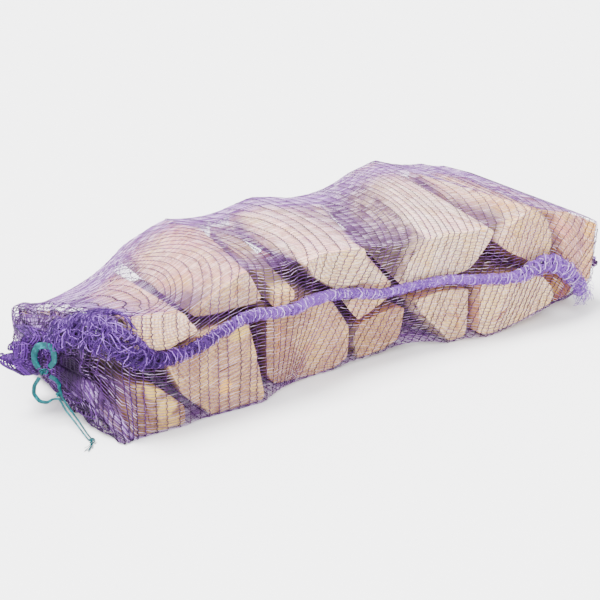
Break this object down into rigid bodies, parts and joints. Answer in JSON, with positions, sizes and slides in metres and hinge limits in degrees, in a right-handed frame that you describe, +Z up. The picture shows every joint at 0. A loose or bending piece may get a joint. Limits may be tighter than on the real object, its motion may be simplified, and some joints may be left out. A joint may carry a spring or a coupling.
{
  "type": "firewood bundle",
  "caption": "Purple knitted net sack full of split birch logs, lying on its side, with a seam along the front and its mouth drawn shut by a teal drawstring.",
  "frame": {"origin": "below the middle of the sack and its logs, on the surface that the bundle lies on, without the drawstring", "axes": "+X along the sack from its mouth to its closed end, +Y from the seam side to the back, +Z up"},
  "size_m": [0.8226, 0.3416, 0.1684],
  "materials": {
    "wood_pale": "split birch, pale and fibrous",
    "wood_cut": "sawn and split birch, rough",
    "wood_shaded": "weathered split birch",
    "wood_dark": "brown heartwood, rough",
    "bark": "grey birch bark with cross marks",
    "net": "knitted plastic net, violet, slightly shiny",
    "tape": "flat woven plastic tape, teal"
  },
  "bodies": {
    "root": {"log_bottom_1": "wood_shaded", "log_bottom_2": "wood_cut", "log_bottom_3": "wood_cut", "log_bottom_4": "wood_dark", "log_bottom_5": "wood_cut", "log_bottom_6": "wood_cut", "log_bottom_7": "wood_dark", "log_top_1": "wood_cut", "log_top_2": "wood_shaded", "log_top_3": "wood_cut", "log_top_4": "wood_pale", "log_top_5": "bark", "log_top_6": "wood_pale", "log_top_7": "wood_cut", "log_top_8": "wood_cut", "net_sack": "net", "drawstring_upper_knot": "tape", "drawstring_lower_knot": "tape", "drawstring_end_knot": "tape", "drawstring_upper_loop": "tape", "drawstring_lower_loop_left": "tape", "drawstring_lower_loop_right": "tape", "drawstring_tail_front": "tape", "drawstring_tail_back": "tape", "drawstring_tip": "tape"}
  },
  "joints": []
}
